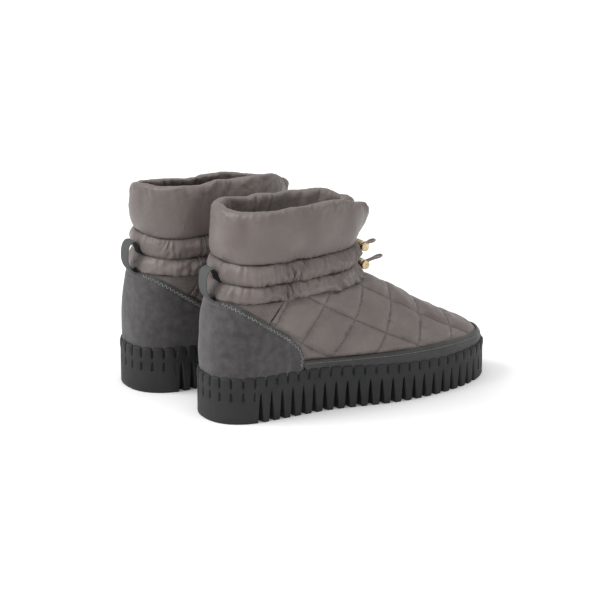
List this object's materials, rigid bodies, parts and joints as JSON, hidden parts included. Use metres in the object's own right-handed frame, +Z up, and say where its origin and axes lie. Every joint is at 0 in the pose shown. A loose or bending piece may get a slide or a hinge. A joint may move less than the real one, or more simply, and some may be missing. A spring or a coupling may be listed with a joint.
{
  "type": "padded ankle boots",
  "caption": "Pair of padded ankle boots with quilted fabric uppers, split cuffs, drawcords with cord locks, pull tabs and ribbed rubber cup soles.",
  "frame": {"origin": "on the floor, under the middle of the pair's box", "axes": "+Y to the toes, +X to the wearer's right, +Z up"},
  "size_m": [0.2082, 0.3032, 0.1865],
  "materials": {
    "outsole_rubber": "matte moulded",
    "filler_foam": "closed cell foam",
    "shank_steel": "plain",
    "insole_board": "pressed fibre board",
    "footbed_fabric": "brushed",
    "suede": "brushed suede",
    "nylon": "satin quilted nylon",
    "ankle_twill": "fine rib",
    "stiffener": "thermoplastic sheet",
    "wadding": "polyester wadding",
    "lining_fabric": "plain",
    "webbing": "grosgrain",
    "cord": "braided elastic",
    "lock_metal": "pale gold plate",
    "spring_steel": "bright"
  },
  "bodies": {
    "right_boot": {"right_outsole": "outsole_rubber", "right_midsole_filler": "filler_foam", "right_shank": "shank_steel", "right_insole_board": "insole_board", "right_footbed": "footbed_fabric", "right_heel_counter": "suede", "right_rand": "suede", "right_vamp_shell": "nylon", "right_ankle_panel": "ankle_twill", "right_heel_stiffener": "stiffener", "right_vamp_wadding": "wadding", "right_toe_puff": "stiffener", "right_lining": "lining_fabric", "right_cuff": "nylon", "right_pull_tab": "webbing", "right_upper_channel": "nylon", "right_lower_channel": "nylon", "right_upper_drawcord": "cord", "right_lower_drawcord": "cord", "right_upper_cord_loop": "cord", "right_lower_cord_loop": "cord"},
    "right_upper_lock": {"right_upper_lock_body": "lock_metal", "right_upper_lock_spring": "spring_steel"},
    "right_upper_plunger": {"right_upper_lock_plunger": "lock_metal"},
    "right_lower_lock": {"right_lower_lock_body": "lock_metal", "right_lower_lock_spring": "spring_steel"},
    "right_lower_plunger": {"right_lower_lock_plunger": "lock_metal"},
    "left_boot": {"left_outsole": "outsole_rubber", "left_midsole_filler": "filler_foam", "left_shank": "shank_steel", "left_insole_board": "insole_board", "left_footbed": "footbed_fabric", "left_heel_counter": "suede", "left_rand": "suede", "left_vamp_shell": "nylon", "left_ankle_panel": "ankle_twill", "left_heel_stiffener": "stiffener", "left_vamp_wadding": "wadding", "left_toe_puff": "stiffener", "left_lining": "lining_fabric", "left_cuff": "nylon", "left_pull_tab": "webbing", "left_upper_channel": "nylon", "left_lower_channel": "nylon", "left_upper_drawcord": "cord", "left_lower_drawcord": "cord", "left_upper_cord_loop": "cord", "left_lower_cord_loop": "cord"},
    "left_upper_lock": {"left_upper_lock_body": "lock_metal", "left_upper_lock_spring": "spring_steel"},
    "left_upper_plunger": {"left_upper_lock_plunger": "lock_metal"},
    "left_lower_lock": {"left_lower_lock_body": "lock_metal", "left_lower_lock_spring": "spring_steel"},
    "left_lower_plunger": {"left_lower_lock_plunger": "lock_metal"}
  },
  "joints": [
    {"name": "left_boot_stand", "type": "slide", "parent": "right_boot", "child": "left_boot", "axis": [-1, 0, 0], "range_m": [0, 0.15]},
    {"name": "right_upper_lock_slide", "type": "slide", "parent": "right_boot", "child": "right_upper_lock", "axis": [0, 0.9781, 0.2079], "range_m": [0, 0.003]},
    {"name": "right_upper_plunger_press", "type": "slide", "parent": "right_upper_lock", "child": "right_upper_plunger", "axis": [-1, 0, 0], "range_m": [0, 0.002], "stiffness_N_per_m": 300, "springref_m": -0.001, "deforming": ["right_upper_lock_spring"]},
    {"name": "right_lower_lock_slide", "type": "slide", "parent": "right_boot", "child": "right_lower_lock", "axis": [0, 0.9781, 0.2079], "range_m": [0, 0.008]},
    {"name": "right_lower_plunger_press", "type": "slide", "parent": "right_lower_lock", "child": "right_lower_plunger", "axis": [-1, 0, 0], "range_m": [0, 0.002], "stiffness_N_per_m": 300, "springref_m": -0.001, "deforming": ["right_lower_lock_spring"]},
    {"name": "left_upper_lock_slide", "type": "slide", "parent": "left_boot", "child": "left_upper_lock", "axis": [0, 0.9781, 0.2079], "range_m": [0, 0.003]},
    {"name": "left_upper_plunger_press", "type": "slide", "parent": "left_upper_lock", "child": "left_upper_plunger", "axis": [1, 0, 0], "range_m": [0, 0.002], "stiffness_N_per_m": 300, "springref_m": -0.001, "deforming": ["left_upper_lock_spring"]},
    {"name": "left_lower_lock_slide", "type": "slide", "parent": "left_boot", "child": "left_lower_lock", "axis": [0, 0.9781, 0.2079], "range_m": [0, 0.008]},
    {"name": "left_lower_plunger_press", "type": "slide", "parent": "left_lower_lock", "child": "left_lower_plunger", "axis": [1, 0, 0], "range_m": [0, 0.002], "stiffness_N_per_m": 300, "springref_m": -0.001, "deforming": ["left_lower_lock_spring"]}
  ]
}
